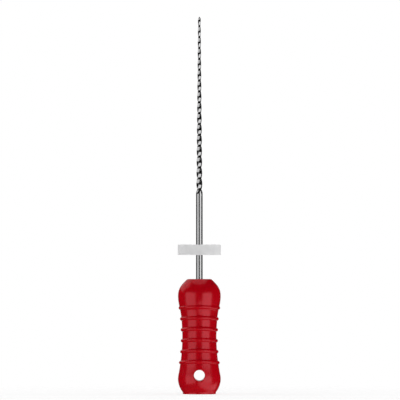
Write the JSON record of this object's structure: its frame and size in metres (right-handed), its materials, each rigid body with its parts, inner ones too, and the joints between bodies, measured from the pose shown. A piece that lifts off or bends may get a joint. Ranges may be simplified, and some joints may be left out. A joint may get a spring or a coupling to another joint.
{
  "type": "endodontic hand file",
  "caption": "Slim hand file for root canals: twisted square steel wire with a tapered working part, a sliding depth stop, and a ringed waisted plastic handle with a cord hole.",
  "frame": {"origin": "centre of the handle's flat foot, on the wire's axis", "axes": "+Z from the foot along the wire to its tip, Y along the cord hole through the lower bulb"},
  "size_m": [0.0041, 0.004, 0.036],
  "materials": {
    "handle_plastic": "moulded, semi-gloss, colour-code red",
    "wire_steel": "bright drawn and ground stainless steel",
    "stop_silicone": "pale grey silicone, satin"
  },
  "bodies": {
    "file": {"handle": "handle_plastic", "file_wire": "wire_steel"},
    "stop": {"stop": "stop_silicone"}
  },
  "joints": [
    {"name": "stop_slide", "type": "slide", "parent": "file", "child": "stop", "axis": [0, 0, 1], "range_m": [-0.00228, 0.0207]}
  ]
}
